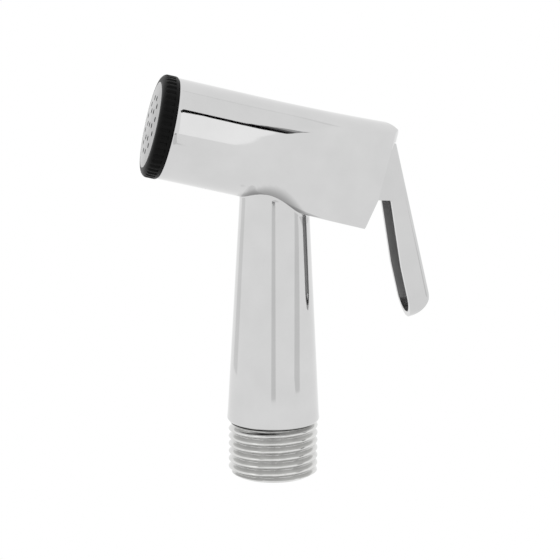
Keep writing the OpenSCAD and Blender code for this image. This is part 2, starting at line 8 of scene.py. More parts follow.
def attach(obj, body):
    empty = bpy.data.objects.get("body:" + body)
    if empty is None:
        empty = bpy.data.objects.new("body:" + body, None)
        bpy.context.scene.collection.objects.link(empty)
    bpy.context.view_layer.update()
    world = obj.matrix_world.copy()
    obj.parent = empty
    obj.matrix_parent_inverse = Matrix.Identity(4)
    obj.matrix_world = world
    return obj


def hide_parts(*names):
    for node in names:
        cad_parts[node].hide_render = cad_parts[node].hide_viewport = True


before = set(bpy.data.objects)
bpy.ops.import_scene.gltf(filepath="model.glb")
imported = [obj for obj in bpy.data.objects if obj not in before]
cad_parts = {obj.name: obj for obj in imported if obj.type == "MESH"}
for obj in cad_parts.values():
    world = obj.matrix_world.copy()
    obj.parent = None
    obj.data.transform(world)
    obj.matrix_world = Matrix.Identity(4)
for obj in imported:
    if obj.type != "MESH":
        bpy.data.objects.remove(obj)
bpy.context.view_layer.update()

MM = 0.001

# Sizes shared with the CAD part, in millimetres. Stations run along the barrel, from the point
# where its axis meets the handle's, and heights are measured across it.
BARREL_R = 11.65
BARREL_TILT = math.radians(13)
BARREL_Z = 75.9
BARREL_FRONT = -25.5
FRONT_CHAMFER = 0.35
SOCKET_R = 10.35
SOCKET_END = -18.7
FLAT_FRONT = -6.0
WALL_REAR = 25.2
REAR_HALF_W = 6.5
CROWN_RISE = 0.85
FLOOR_DROP = 0.87
FLOOR_EDGE_R = 0.6
BEAK_S, BEAK_R, BEAK_PLAN_R = 27.2, 4.0, 11.5
SLOT_FRONT, SLOT_HALF_W, SLOT_FLOOR, SLOT_ROOF = 17.5, 5.6, -6.9, 8.35
GLAND_BORE_R, GLAND_SHOULDER = 3.05, 8.0
PIVOT_S, PIVOT_H, PIN_HOLE_R, PIN_SKIN = 21.5, 5.0, 1.26, 0.55
COLLAR_R, COLLAR_BORE_R, COLLAR_END, FACE_LEDGE = 10.3, 9.3, -20.8, -28.6
RIBS, GROOVE_R, GROOVE_DEPTH, RING_BAND = 48, 0.45, 0.3, 0.8
HANDLE_BASE_Z, HANDLE_BASE_R = 12.78, 10.83
HANDLE_TAPER = (10.83 - 7.75) / (70 - 12.78)
HANDLE_EDGE_R = 0.9
SHANK_HOLE_R, SHANK_R, SHANK_END = 7.65, 7.6, 23.0
INLET_BORE_R, STRAINER_SEAT_R, STRAINER_SEAT_Z = 5.0, 6.4, 2.35
THREAD_R, THREAD_ROOT_R, THREAD_PITCH = 10.4775, 9.3175, 1.814
LEVER_LEAN = math.radians(13.5)

# Sizes set from the photograph for the scene's own pieces
SIDE_SOFTENING = 0.22          # rounding where the barrel's flat sides meet its crown
FLOOR_FADE = 3.0               # how soon the barrel's lower edges sharpen toward the rear
RING_FRONT, RING_R = -29.2, 11.85
LIP_LENGTH, LIP_DROP = 1.4, 1.9
FACE_R, FACE_DOME, HOLE_R = 9.87, 0.3, 0.62
HOLE_CIRCLES = ((0, 1, 0), (3.5, 6, 30), (6.3, 12, 15))   # radius, holes, first hole's angle
FLARE, FLARE_HEIGHT = 0.25, 0.9
NOOK_WIDTH = 2.1               # band of shade round the handle's root
THREAD_START, THREAD_RUNOUT, THREAD_END_GAP = 0.9, 0.3, 0.2
LEAD_DEPTH, LEAD_HEIGHT = 1.55, 0.96
GAP_SHADE_HEIGHT, GROOVE_SHADE = 0.45, 0.24

along_barrel = (Matrix.Translation((0, 0, BARREL_Z))
                @ Matrix.Rotation(BARREL_TILT, 4, "Y"))


# ---- shapes

def object_of(name, bm):
    mesh = bpy.data.meshes.new(name)
    bm.to_mesh(mesh)
    bm.free()
    piece = bpy.data.objects.new(name, mesh)
    bpy.context.scene.collection.objects.link(piece)
    return piece


def close(bm):
    bmesh.ops.remove_doubles(bm, verts=bm.verts, dist=0.0005)
    bmesh.ops.recalc_face_normals(bm, faces=bm.faces)


def solid(name, bm):
    """An object that stays in millimetres, for cutting."""
    close(bm)
    return object_of(name, bm)


def new_piece(name, bm, body=None):
    """Closes a mesh made in millimetres, brings it to metres and lets it ride on its body."""
    close(bm)
    if bm.calc_volume(signed=True) < 0:
        bmesh.ops.reverse_faces(bm, faces=bm.faces)
    bmesh.ops.transform(bm, matrix=Matrix.Scale(MM, 4), verts=bm.verts)
    piece = object_of(name, bm)
    if body:
        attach(piece, body)
    return piece


def smooth(piece, sharp_from):
    """Smooth shading, except over edges that turn by more than this angle in degrees."""
    piece.data.shade_smooth()
    piece.data.set_sharp_from_angle(angle=math.radians(sharp_from))
    return piece


def ring_stack(rings):
    """Rings of points, each bridged to the next, with the first and the last filled."""
    bm = bmesh.new()
    loops = []
    for points in rings:
        verts = [bm.verts.new(p) for p in points]
        loops.append([bm.edges.new(pair) for pair in zip(verts, verts[1:] + verts[:1])])
    for low, high in zip(loops, loops[1:]):
        bmesh.ops.bridge_loops(bm, edges=low + high)
    bmesh.ops.edgeloop_fill(bm, edges=loops[0])
    bmesh.ops.edgeloop_fill(bm, edges=loops[-1])
    return bm


def turned(profile, steps, upright=False):
    """A closed profile of (station, radius) points, turned round the barrel's axis.

    An upright one has heights for stations and turns round the handle's axis.
    """
    bm = bmesh.new()
    verts = [bm.verts.new((r, 0, s) if upright else (s, 0, r)) for s, r in profile]
    edges = [bm.edges.new(pair) for pair in zip(verts, verts[1:] + verts[:1])]
    axis = (0, 0, 1) if upright else (1, 0, 0)
    bmesh.ops.spin(bm, geom=verts + edges, cent=(0, 0, 0), axis=axis,
                   angle=2 * math.pi, steps=steps, use_merge=True)
    return bm


def prism(outline, view, low, high):
    """An outline in the barrel's side view or top view, extruded across that view."""
    bm = bmesh.new()
    thick = Vector((0, high - low, 0)) if view == "side" else Vector((0, 0, high - low))
    face = bm.faces.new([bm.verts.new((a, low, b) if view == "side" else (a, b, low))
                         for a, b in outline])
    out = bmesh.ops.extrude_face_region(bm, geom=[face])
    moved = [g for g in out["geom"] if isinstance(g, bmesh.types.BMVert)]
    bmesh.ops.translate(bm, vec=thick, verts=moved)
    return bm


def rod(radius, middle, length, view, segments=96):
    """A closed round rod along the barrel ("end" view) or across it ("side" view)."""
    bm = bmesh.new()
    turn = Matrix.Rotation(math.pi / 2, 4, "Y" if view == "end" else "X")
    bmesh.ops.create_cone(bm, cap_ends=True, segments=segments, radius1=radius,
                          radius2=radius, depth=length,
                          matrix=Matrix.Translation(middle) @ turn)
    return bm


def cut(piece, bm, operation="DIFFERENCE"):
    """Takes another closed mesh away from a piece, or keeps what the two have in common."""
    tool = solid("cutter", bm)
    step = piece.modifiers.new("cut", "BOOLEAN")
    step.operation, step.object, step.solver = operation, tool, "EXACT"
    bpy.context.view_layer.update()
    graph = bpy.context.evaluated_depsgraph_get()
    made = bpy.data.meshes.new_from_object(piece.evaluated_get(graph))
    piece.modifiers.clear()
    piece.data = made
    bpy.data.objects.remove(tool)


def placed_on_barrel(shape):
    """A cut solid becomes a piece of the housing, tilted with the barrel."""
    bm = bmesh.new()
    bm.from_mesh(shape.data)
    name = shape.name
    bpy.data.objects.remove(shape)
    bmesh.ops.transform(bm, matrix=along_barrel, verts=bm.verts)
    return new_piece(name, bm, "housing")


def arc(middle, radius, start, end, steps):
    """Points on an arc between two angles in degrees."""
    turns = (math.radians(start + (end - start) * i / steps) for i in range(steps + 1))
    return [(middle[0] + radius * math.cos(a), middle[1] + radius * math.sin(a)) for a in turns]


def bent(start, corner, end, shares):
    """Points on the curve that leaves start toward the corner and reaches end from it."""
    return [tuple((1 - t) ** 2 * a + 2 * t * (1 - t) * b + t * t * c
                  for a, b, c in zip(start, corner, end)) for t in shares]


def around(angle, radius, z):
    return (radius * math.cos(angle), radius * math.sin(angle), z)


# ---- body: the barrel with its flat-sided rear end

def share(s):
    """0 where the barrel's sides start to flatten, 1 at the rear wall."""
    return min(1.0, max(0.0, (s - FLAT_FRONT) / (WALL_REAR - FLAT_FRONT)))


def half_w(s):
    return BARREL_R - (BARREL_R - REAR_HALF_W) * (s - FLAT_FRONT) / (WALL_REAR - FLAT_FRONT)


def floor_h(s):
    return BARREL_R + FLOOR_DROP * share(s)


def lower_edge_r(s):
    eased = share(s) ** 2 * (3 - 2 * share(s))
    return min(half_w(s) - 0.05,
               FLOOR_EDGE_R + (BARREL_R - FLOOR_EDGE_R) * (1 - eased) ** FLOOR_FADE)


def section(s):
    """Half of the barrel's section from the top down to the bottom, as (y, height) points."""
    w, e, f = min(half_w(s), BARREL_R * 0.995), lower_edge_r(s), floor_h(s)
    crown = CROWN_RISE * share(s) ** 2
    side_angle = math.asin(w / BARREL_R)
    arc_end = side_angle - SIDE_SOFTENING / BARREL_R
    top = [(BARREL_R * math.sin(arc_end * i / 40), crown + BARREL_R * math.cos(arc_end * i / 40))
           for i in range(41)]
    corner = (w, crown + BARREL_R * math.cos(side_angle))
    below = (w, max(corner[1] - SIDE_SOFTENING, e - f))
    side = [(w, below[1] + (e - f - below[1]) * i / 8) for i in range(9)]
    foot = [(w - e + e * math.cos(b), e - f - e * math.sin(b))
            for b in (math.pi / 2 * i / 16 for i in range(1, 17))]
    flat = [((w - e) * (1 - i / 8), -f) for i in range(1, 9)]
    return top + bent(top[-1], corner, below, (0.25, 0.5, 0.75)) + side + foot + flat


def barrel_ring(s, radius=None):
    """The whole section at a station, pushed out or in to a circle where a radius is given."""
    half = section(s)
    if radius:
        half = [(y * radius / math.hypot(y, h), h * radius / math.hypot(y, h)) for y, h in half]
    return [(s, y, h) for y, h in half + [(-y, h) for y, h in half[-2:0:-1]]]


def round_ring(s, radius):
    """A circle with its points where the sections have theirs."""
    return [(s, y, h) for _, y, h in barrel_ring(FLAT_FRONT + 0.01, radius)]


def barrel_shell():
    rings = [round_ring(SOCKET_END, SOCKET_R), round_ring(BARREL_FRONT, SOCKET_R),
             round_ring(BARREL_FRONT, BARREL_R - FRONT_CHAMFER)]
    rings += [round_ring(BARREL_FRONT + FRONT_CHAMFER * (1 - math.cos(a)),
                         BARREL_R - FRONT_CHAMFER * (1 - math.sin(a)))
              for a in (math.pi / 8 * i for i in range(1, 5))]
    rings += [round_ring(BARREL_FRONT + FRONT_CHAMFER + 0.9 * (i + 1), BARREL_R)
              for i in range(20)]
    rings += [barrel_ring(FLAT_FRONT + 0.02 + (BEAK_S + 1 - FLAT_FRONT) * (i / 80))
              for i in range(81)]
    shell = solid("barrel_shell", ring_stack(rings))

    # The rear wall leans in below the beak. The cutters end outside the shell, each at a place
    # of its own, so that no two ends lie in one plane.
    top = BARREL_R + CROWN_RISE
    side = [(-60, -60), (WALL_REAR - 1.9, -60), (WALL_REAR - 1.9, -floor_h(WALL_REAR)),
            (WALL_REAR - 0.3, -5.4), (WALL_REAR, 6.15), (WALL_REAR + 0.6, SLOT_ROOF),
            (BEAK_S, SLOT_ROOF)]
    side += arc((BEAK_S - BEAK_R, top - BEAK_R), BEAK_R, 0, 88, 16)
    side += [(BEAK_S - BEAK_R, 60), (-60, 60)]
    cut(shell, prism(side, "side", -30.3, 30.1), "INTERSECT")
    plan = arc((BEAK_S - BEAK_PLAN_R, 0), BEAK_PLAN_R, -55, 55, 64) + [(-61, 40), (-61, -41)]
    cut(shell, prism(plan, "top", -31.7, 31.3), "INTERSECT")
    slot = [(SLOT_FRONT, -SLOT_HALF_W), (BEAK_S + 1.3, -SLOT_HALF_W),
            (BEAK_S + 1.3, SLOT_HALF_W), (SLOT_FRONT, SLOT_HALF_W)]
    cut(shell, prism(slot, "top", SLOT_FLOOR, SLOT_ROOF))
    gland = (GLAND_SHOULDER + SLOT_FRONT + 1) / 2
    cut(shell, rod(GLAND_BORE_R, (gland, 0, 0), SLOT_FRONT + 1 - GLAND_SHOULDER, "end"))
    cut(shell, rod(PIN_HOLE_R, (PIVOT_S, PIN_SKIN, PIVOT_H), 2 * half_w(PIVOT_S), "side", 64))

    shell = placed_on_barrel(shell)
    # Painted shade: the barrel gets a darker band round the handle's root, strongest at the
    # crease.
    nook_shade = shell.data.attributes.new("nook_shade", "FLOAT", "POINT")
    for vert in shell.data.vertices:
        x, y, z = vert.co / MM
        off = (math.hypot(x, y) - handle_r(z)) / NOOK_WIDTH
        if z < BARREL_Z - 5 and -0.3 < off < 1:
            nook_shade.data[vert.index].value = 1 - max(off, 0) ** 2
    return smooth(shell, 24)


# ---- spray end: the ribbed ring and the drilled face

def ribbed_ring():
    """The grooves run out over the rounded front edge, which leaves it scalloped."""
    front, rim = RING_FRONT, RING_R
    profile = [(COLLAR_END, COLLAR_BORE_R), (COLLAR_END, COLLAR_R), (BARREL_FRONT, COLLAR_R),
               (BARREL_FRONT, rim - 0.4), (BARREL_FRONT - 0.12, rim - 0.12),
               (BARREL_FRONT - 0.4, rim), (BARREL_FRONT - RING_BAND, rim),
               (BARREL_FRONT - RING_BAND - 0.05, rim), (front + 1.9, rim)]
    profile += [(front + LIP_LENGTH * (1 - math.sin(a)), rim - LIP_DROP * (1 - math.cos(a)))
                for a in (math.pi / 28 * k for k in range(15))]
    profile += [(front, FACE_R + 0.03), (FACE_LEDGE, FACE_R + 0.03), (FACE_LEDGE, COLLAR_BORE_R)]
    bm = turned(profile, RIBS * 12)
    for vert in bm.verts:
        s, y, z = vert.co
        radius = math.hypot(y, z)
        place = math.atan2(y, z) / (2 * math.pi) * RIBS
        across = abs(place - round(place)) * 2 * math.pi * rim / RIBS
        if s < BARREL_FRONT - RING_BAND - 0.02 and across < GROOVE_R:
            floor = rim - GROOVE_DEPTH + GROOVE_R - math.sqrt(GROOVE_R ** 2 - across ** 2)
            if radius > floor:
                vert.co = (s, y * floor / radius, z * floor / radius)
    bmesh.ops.transform(bm, matrix=along_barrel, verts=bm.verts)
    return smooth(new_piece("ribbed_ring", bm, "housing"), 35)


def drilled_face():
    """The walls of the holes are marked, so that the finish paints shade on them."""
    dome = [(RING_FRONT - FACE_DOME * (1 - (k / 12) ** 2), FACE_R * k / 12) for k in range(13)]
    plate = solid("drilled_face", turned(dome + [(FACE_LEDGE, FACE_R), (FACE_LEDGE, 0)], 192))
    holes = bmesh.new()
    through = -29   # a station inside the plate, where the cutters have their middle
    for radius, count, first in HOLE_CIRCLES:
        for k in range(count):
            a = math.radians(360 / count * k + first)
            middle = Matrix.Translation((through, -radius * math.sin(a), radius * math.cos(a)))
            bmesh.ops.create_cone(holes, cap_ends=True, segments=24, radius1=HOLE_R,
                                  radius2=HOLE_R, depth=3,
                                  matrix=middle @ Matrix.Rotation(math.pi / 2, 4, "Y"))
    cut(plate, holes)
    face = placed_on_barrel(plate)
    axis = along_barrel.to_3x3() @ Vector((1, 0, 0))
    middle = along_barrel @ Vector((through, 0, 0)) * MM
    # Painted shade: the walls of the holes are marked to go near black.
    hollow_shade = face.data.attributes.new("hollow_shade", "FLOAT", "FACE")
    for polygon in face.data.polygons:
        inside = (polygon.center - middle).length < 9 * MM
        hollow_shade.data[polygon.index].value = float(inside and abs(polygon.normal @ axis) < 0.5)
    return smooth(face, 30)


# ---- body: the handle, flared into the barrel's underside

def handle_r(z):
    return HANDLE_BASE_R - HANDLE_TAPER * (z - HANDLE_BASE_Z)


def underside(s, y):
    """Height of the barrel's underside at station s and side distance y, along the barrel."""
    if s <= FLAT_FRONT:
        return -math.sqrt(max(BARREL_R ** 2 - y * y, 0.01))
    w, e, f = half_w(s), lower_edge_r(s), floor_h(s)
    over = abs(y) - (w - e)
    return -f if over <= 0 else e - f - math.sqrt(max(e * e - over * over, 0.0))


def gap_to_barrel(x, y, z):
    s = x * math.cos(BARREL_TILT) - (z - BARREL_Z) * math.sin(BARREL_TILT)
    h = x * math.sin(BARREL_TILT) + (z - BARREL_Z) * math.cos(BARREL_TILT)
    return h - underside(s, y)


def meet_height(angle, radius):
    """Height at which a point at this radius meets the barrel, found by halving."""
    low, high = 40.0, 80.0
    for _ in range(40):
        z = (low + high) / 2
        if gap_to_barrel(*around(angle, radius, z)) < 0:
            low = z
        else:
            high = z
    return low


def handle_side(angle, rows=40):
    """(radius, height) points from the shank's hole round the base and up to the barrel."""
    edge, base = HANDLE_EDGE_R, HANDLE_BASE_Z
    points = [(SHANK_HOLE_R, base + 10), (SHANK_HOLE_R, base),
              ((SHANK_HOLE_R + HANDLE_BASE_R) / 2, base), (HANDLE_BASE_R - edge, base)]
    points += [(HANDLE_BASE_R - edge + edge * math.sin(a), base + edge - edge * math.cos(a))
               for a in (math.pi / 12 * k for k in range(1, 7))]
    z_meet = 66.0   # a first guess, drawn closer by each round
    for _ in range(8):
        z_meet = meet_height(angle, handle_r(z_meet))
    start, end = base + edge, z_meet - FLARE_HEIGHT
    points += [(handle_r(z), z) for z in (start + (end - start) * k / rows
                                          for k in range(1, rows + 1))]
    r_meet = handle_r(z_meet)
    far = (r_meet + FLARE, meet_height(angle, r_meet + FLARE) + 0.03)
    return points + bent((handle_r(end), end), (r_meet, z_meet - 0.25), far,
                         [k / 10 for k in range(1, 11)])


def handle_shell():
    sides = [[around(angle, radius, z) for radius, z in handle_side(angle)]
             for angle in (2 * math.pi * i / 192 for i in range(192))]
    return smooth(new_piece("handle_shell", ring_stack(zip(*sides)), "housing"), 40)


# ---- inlet: one helical thread on a bored tube

def thread_r(angle, z):
    """The radius rises and falls once a pitch, up to a runout under the handle."""
    height = 0.5 + 0.5 * math.cos(2 * math.pi * (z - THREAD_START) / THREAD_PITCH - angle)
    runout = min(1, max(0, (HANDLE_BASE_Z - THREAD_END_GAP - z) / THREAD_RUNOUT))
    lead_in = THREAD_R - LEAD_DEPTH * (1 - min(1, z / LEAD_HEIGHT))
    return min(THREAD_ROOT_R + (THREAD_R - THREAD_ROOT_R) * height * runout, lead_in)


def threaded_inlet():
    """The gap under the handle and the thread's grooves are marked, so that the finish paints
    shade into them.
    """
    top = HANDLE_BASE_Z
    rows = int(top / THREAD_PITCH * 14)
    profile = [(SHANK_END, INLET_BORE_R), (STRAINER_SEAT_Z, INLET_BORE_R),
               (STRAINER_SEAT_Z, STRAINER_SEAT_R), (0, STRAINER_SEAT_R)]
    profile += [(top * j / rows, THREAD_R) for j in range(rows + 1)]
    profile += [(top, SHANK_R), (SHANK_END, SHANK_R)]
    bm = turned(profile, 144, upright=True)
    for vert in bm.verts:
        x, y, z = vert.co
        if math.hypot(x, y) > THREAD_ROOT_R:
            angle = math.atan2(y, x)
            vert.co = around(angle, thread_r(angle, z), z)
    inlet = new_piece("threaded_inlet", bm, "housing")
    # Painted shade: the thread darkens with the depth of its grooves, and the gap under the handle
    # goes black.
    hollow_shade = inlet.data.attributes.new("hollow_shade", "FLOAT", "POINT")
    for vert in inlet.data.vertices:
        sunk = (THREAD_R - math.hypot(vert.co.x, vert.co.y) / MM) / (THREAD_R - THREAD_ROOT_R)
        groove = GROOVE_SHADE * sunk if sunk < 1.01 else 0.0
        in_gap = vert.co.z / MM > top - GAP_SHADE_HEIGHT
        hollow_shade.data[vert.index].value = 1.0 if in_gap else groove
    return smooth(inlet, 28)


# ---- finishes

def math_node(tree, operation, *values):
    """A Math node's output, from sockets to link and plain numbers."""
    node = tree.nodes.new("ShaderNodeMath")
    node.operation = operation
    for socket, value in zip(node.inputs, values):
        if isinstance(value, bpy.types.NodeSocket):
            tree.links.new(value, socket)
        else:
            socket.default_value = value
    return node.outputs["Value"]


def noise_node(tree, scale, detail):
    """Noise over the piece's own place."""
    where, noise = tree.nodes.new("ShaderNodeTexCoord"), tree.nodes.new("ShaderNodeTexNoise")
    noise.inputs["Detail"].default_value = detail
    tree.links.new(where.outputs["Object"], noise.inputs["Vector"])
    if isinstance(scale, bpy.types.NodeSocket):
        tree.links.new(scale, noise.inputs["Scale"])
    else:
        noise.inputs["Scale"].default_value = scale
    return noise.outputs["Fac"]


def darkened(tree, colour, mask, tone):
    """A colour that gives way to a grey tone where the mask says so."""
    mix = tree.nodes.new("ShaderNodeMix")
    mix.data_type = "RGBA"
    mix.inputs["B"].default_value = (tone, tone, tone, 1)
    tree.links.new(mask, mix.inputs["Factor"])
    tree.links.new(colour, mix.inputs["A"])
    return mix.outputs["Result"]


def handling_marks():
    """Shared by all finishes: faint smears and fine scratches, as a roughness and a height."""
    group = bpy.data.node_groups.new("handling_marks", "ShaderNodeTree")
    for name, direction in (("Base roughness", "INPUT"), ("Smear", "INPUT"),
                            ("Grain size", "INPUT"), ("Roughness", "OUTPUT"),
                            ("Height", "OUTPUT")):
        group.interface.new_socket(name, in_out=direction, socket_type="NodeSocketFloat")
    inp, out = group.nodes.new("NodeGroupInput"), group.nodes.new("NodeGroupOutput")
    band = group.nodes.new("ShaderNodeMapRange")
    band.inputs["From Min"].default_value = 0.45
    band.inputs["From Max"].default_value = 0.75
    group.links.new(noise_node(group, 90, 4), band.inputs["Value"])
    amount = math_node(group, "MULTIPLY_ADD", band.outputs["Result"], inp.outputs["Smear"],
                       inp.outputs["Base roughness"])
    group.links.new(amount, out.inputs["Roughness"])
    group.links.new(noise_node(group, inp.outputs["Grain size"], 6), out.inputs["Height"])
    return group


marks = handling_marks()


def finish_of(name, dark, light, metallic, roughness, smear, grain, bump, patch=120,
              specular=0.5, shade=None):
    """A finish whose colour drifts between two tones and whose gloss carries handling marks.

    A shade names the attribute that marks where shade is painted onto the finish, and the tone of
    that painted shade.
    """
    material = bpy.data.materials.new(name)
    material.use_nodes = True
    tree = material.node_tree
    nodes, links = tree.nodes, tree.links
    shader = nodes["Principled BSDF"]
    shader.inputs["Metallic"].default_value = metallic
    shader.inputs["Specular IOR Level"].default_value = specular
    tones = nodes.new("ShaderNodeValToRGB")
    for stop, place, tone in zip(tones.color_ramp.elements, (0.3, 0.7), (dark, light)):
        stop.position, stop.color = place, (*tone, 1)
    wear = nodes.new("ShaderNodeGroup")
    wear.node_tree = marks
    wear.inputs["Base roughness"].default_value = roughness
    wear.inputs["Smear"].default_value = smear
    wear.inputs["Grain size"].default_value = grain
    relief = nodes.new("ShaderNodeBump")
    relief.inputs["Strength"].default_value = bump
    relief.inputs["Distance"].default_value = 0.02 * MM
    links.new(noise_node(tree, patch, 3), tones.inputs["Fac"])
    colour = tones.outputs["Color"]
    if shade:
        mark = nodes.new("ShaderNodeAttribute")
        mark.attribute_name = shade[0]
        colour = darkened(tree, colour, mark.outputs["Fac"], shade[1])
    links.new(colour, shader.inputs["Base Color"])
    links.new(wear.outputs["Roughness"], shader.inputs["Roughness"])
    links.new(wear.outputs["Height"], relief.inputs["Height"])
    links.new(relief.outputs["Normal"], shader.inputs["Normal"])
    return material


def channel_inside():
    """1 on the inner walls of the lever's channel, where shade is painted, by their place in the
    lever's own frame.
    """
    half_width, web_behind_pivot, lowest = 4.3, 4.9, 40.4
    group = bpy.data.node_groups.new("channel_inside", "ShaderNodeTree")
    group.interface.new_socket("Inside", in_out="OUTPUT", socket_type="NodeSocketFloat")
    out, where = group.nodes.new("NodeGroupOutput"), group.nodes.new("ShaderNodeTexCoord")
    apart = group.nodes.new("ShaderNodeSeparateXYZ")
    backward = Vector((math.cos(LEVER_LEAN), 0, math.sin(LEVER_LEAN)))
    back = group.nodes.new("ShaderNodeVectorMath")
    back.operation = "DOT_PRODUCT"
    back.inputs[1].default_value = backward
    group.links.new(where.outputs["Object"], apart.inputs[0])
    group.links.new(where.outputs["Object"], back.inputs[0])
    web = backward.dot(along_barrel @ Vector((PIVOT_S, 0, PIVOT_H))) + web_behind_pivot
    width = math_node(group, "ABSOLUTE", apart.outputs["Y"])
    narrow = math_node(group, "LESS_THAN", width, half_width * MM)
    before_web = math_node(group, "LESS_THAN", back.outputs["Value"], web * MM)
    above_tip = math_node(group, "GREATER_THAN", apart.outputs["Z"], lowest * MM)
    inside = math_node(group, "MULTIPLY", math_node(group, "MULTIPLY", narrow, before_web),
                       above_tip)
    group.links.new(inside, out.inputs["Inside"])
    return group


def with_painted_shade_inside(material):
    """Inside its channel the lever gets painted shade, a darker colour, and a roughness too high
    to mirror.
    """
    tree = material.node_tree
    shader = tree.nodes["Principled BSDF"]
    colour = shader.inputs["Base Color"].links[0].from_socket
    gloss = shader.inputs["Roughness"].links[0].from_socket
    mask = tree.nodes.new("ShaderNodeGroup")
    mask.node_tree = channel_inside()
    inside = mask.outputs["Inside"]
    tree.links.new(darkened(tree, colour, inside, 0.42), shader.inputs["Base Color"])
    tree.links.new(math_node(tree, "MULTIPLY_ADD", inside, 0.4, gloss),
                   shader.inputs["Roughness"])
    return material


def grey(tone):
    return (tone, tone, tone)


# Painted shade comes in through the shade attributes: round the handle's root, in the thread's
# grooves and the gap under the handle, and in the face's holes.
chrome = finish_of("polished_chrome", grey(0.625), grey(0.66), 1, 0.045, 0.03, 900, 0.03,
                   shade=("nook_shade", 0.30))
thread_chrome = finish_of("cut_thread_chrome", (0.67, 0.67, 0.66), (0.76, 0.76, 0.75),
                          1, 0.1, 0.06, 1500, 0.15, 300, shade=("hollow_shade", 0.01))
face_steel = finish_of("polished_sheet", grey(0.20), grey(0.28), 1, 0.16, 0.06, 1800, 0.15, 400,
                       shade=("hollow_shade", 0.01))
steel = finish_of("turned_steel", grey(0.46), grey(0.60), 1, 0.24, 0.08, 2200, 0.3, 300)
brass = finish_of("turned_brass", (0.55, 0.42, 0.20), (0.72, 0.56, 0.30),
                  1, 0.26, 0.08, 2200, 0.3, 300)
# Painted shade inside the lever's channel.
lever_chrome = with_painted_shade_inside(finish_of("pressed_lever_chrome", grey(0.60), grey(0.635),
                                     1, 0.05, 0.03, 900, 0.02))
ring_plastic = finish_of("black_moulding", grey(0.002), grey(0.004),
                         0, 0.38, 0.1, 2600, 0.4, 250, specular=0.08)
rubber = finish_of("moulded_rubber", grey(0.018), grey(0.035), 0, 0.62, 0.12, 3000, 0.6, 250)

NODE_FINISH = {
    "body": chrome, "lever": lever_chrome, "inlet_nipple": thread_chrome, "spray_face": face_steel,
    "spray_ring": ring_plastic, "flow_plate": ring_plastic, "nipple_seal": rubber,
    "ring_gasket": rubber, "valve_disc": rubber, "stem_seal_front": rubber,
    "stem_seal_rear": rubber, "inlet_strainer": steel, "valve_spring": steel,
    "valve_stem": steel, "stem_cap": steel, "pivot_pin": steel, "stem_nut": brass,
    "valve_cup": brass, "packing_washer": brass, "gland_nut": brass,
}
for node_name, finish in NODE_FINISH.items():
    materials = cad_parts[node_name].data.materials
    materials.clear()
    materials.append(finish)

for piece, node in ((barrel_shell(), "body"), (handle_shell(), "body"),
                    (threaded_inlet(), "inlet_nipple"), (ribbed_ring(), "spray_ring"),
                    (drilled_face(), "spray_face")):
    piece.data.materials.clear()
    piece.data.materials.append(NODE_FINISH[node])
    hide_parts(node)


# ---- studio

def seen_directly(tree):
    """1 for camera, glossy and transmission rays, 0 for the light that falls on the object."""
    path = tree.nodes.new("ShaderNodeLightPath")
    either = math_node(tree, "MAXIMUM", path.outputs["Is Camera Ray"],
                       path.outputs["Is Glossy Ray"])
    return math_node(tree, "MAXIMUM", either, path.outputs["Is Transmission Ray"])


def two_faced(tree, unseen, seen, surface):
    """One shader for the light that falls on the object, another where it is looked at."""
    mix = tree.nodes.new("ShaderNodeMixShader")
    tree.links.new(seen_directly(tree), mix.inputs["Fac"])
    tree.links.new(unseen, mix.inputs[1])
    tree.links.new(seen, mix.inputs[2])
    tree.links.new(mix.outputs["Shader"], surface)


def studio_world():
    world = bpy.data.worlds.new("white_tent")
    bpy.context.scene.world = world
    world.use_nodes = True
    nodes = world.node_tree.nodes
    plain, white = nodes["Background"], nodes.new("ShaderNodeBackground")
    for shader, strength in ((plain, 0.8), (white, 1.0)):
        shader.inputs["Color"].default_value = (1, 1, 1, 1)
        shader.inputs["Strength"].default_value = strength
    two_faced(world.node_tree, plain.outputs["Background"], white.outputs["Background"],
              nodes["World Output"].inputs["Surface"])


def bare_material(name):
    material = bpy.data.materials.new(name)
    material.use_nodes = True
    material.node_tree.nodes.remove(material.node_tree.nodes["Principled BSDF"])
    return material


def studio_floor():
    bm = bmesh.new()
    bmesh.ops.create_grid(bm, x_segments=1, y_segments=1, size=4000)
    bmesh.ops.translate(bm, verts=bm.verts, vec=(0, 0, -0.05))
    floor = new_piece("floor", bm)
    material = bare_material("white_floor")
    nodes = material.node_tree.nodes
    paint, glow = nodes.new("ShaderNodeBsdfDiffuse"), nodes.new("ShaderNodeEmission")
    paint.inputs["Color"].default_value = (0.9, 0.9, 0.9, 1)
    glow.inputs["Strength"].default_value = 1.0
    two_faced(material.node_tree, paint.outputs["BSDF"], glow.outputs["Emission"],
              nodes["Material Output"].inputs["Surface"])
    floor.data.materials.append(material)


def studio_card(name, low, high, shade):
    """A sheet between two lines of points, which only shows as a reflection."""
    bm = bmesh.new()
    bmesh.ops.create_grid(bm, x_segments=len(low) - 1, y_segments=1, size=0.5)
    for vert in bm.verts:
        i = round((vert.co.x + 0.5) * (len(low) - 1))
        vert.co = low[i] if vert.co.y < 0 else high[i]
    card = new_piece(name, bm)
    material = bare_material(name)
    nodes, links = material.node_tree.nodes, material.node_tree.links
    glow = nodes.new("ShaderNodeEmission")
    glow.inputs["Color"].default_value = (shade, shade, shade, 1)
    links.new(glow.outputs["Emission"], nodes["Material Output"].inputs["Surface"])
    card.data.materials.append(material)
    card.visible_camera = card.visible_diffuse = card.visible_shadow = False


def strip(path, width, near=1.0):
    """The edges of a strip that faces the object, its middle line drawn in toward the barrel."""
    path = [Vector((-9, -10, 83)).lerp(Vector(p), near) for p in path]
    low, high = [], []
    for i, point in enumerate(path):
        along = path[min(i + 1, len(path) - 1)] - path[max(i - 1, 0)]
        side = (point - Vector((0, 0, 60))).cross(along).normalized() * width / 2
        low.append(point - side)
        high.append(point + side)
    return low, high


